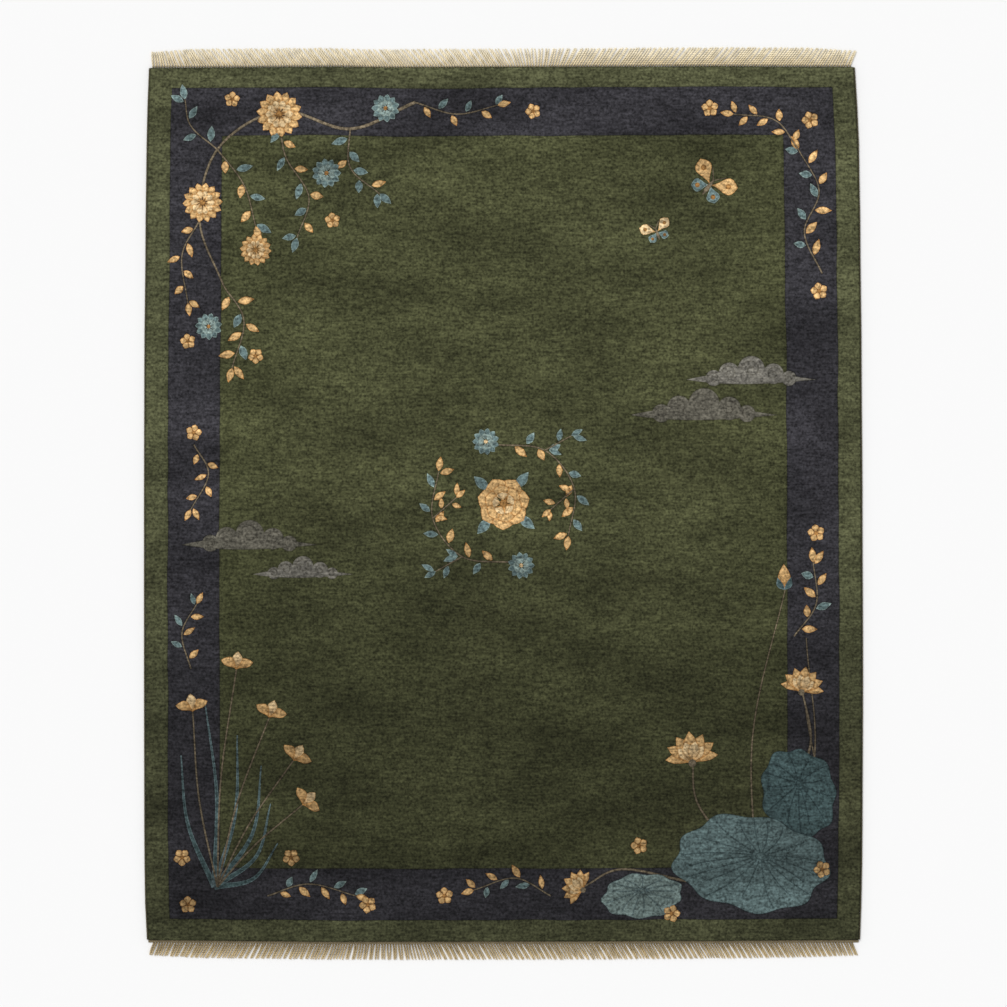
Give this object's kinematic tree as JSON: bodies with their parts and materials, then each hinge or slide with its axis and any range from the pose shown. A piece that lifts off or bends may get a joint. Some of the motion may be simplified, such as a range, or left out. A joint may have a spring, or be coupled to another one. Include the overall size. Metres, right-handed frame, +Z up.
{
  "type": "chinese art deco rug",
  "caption": "Flat hand-knotted wool rug in deep green with a wide dark border, overcast sides, a cotton web end and leaning cotton fringes at both ends.",
  "frame": {"origin": "middle of the rug's whole outline, fringes included, on the floor", "axes": "+Y along the length, from the end with the web to the end with the row of knots; +X to the right; +Z up out of the pile"},
  "size_m": [2.44, 3.0969, 0.012],
  "materials": {
    "wool_pile": "dense cut wool pile, matt",
    "wool_overcasting": "wool yarn wrapped round the edge warps",
    "cotton_web": "plain-woven cotton, matt",
    "cotton_fringe": "twisted cotton warp ends"
  },
  "bodies": {
    "root": {"knotted_pile": "wool_pile", "selvedge_left": "wool_overcasting", "selvedge_right": "wool_overcasting", "web_end_near": "cotton_web", "fringe_near": "cotton_fringe", "fringe_far": "cotton_fringe"}
  },
  "joints": []
}
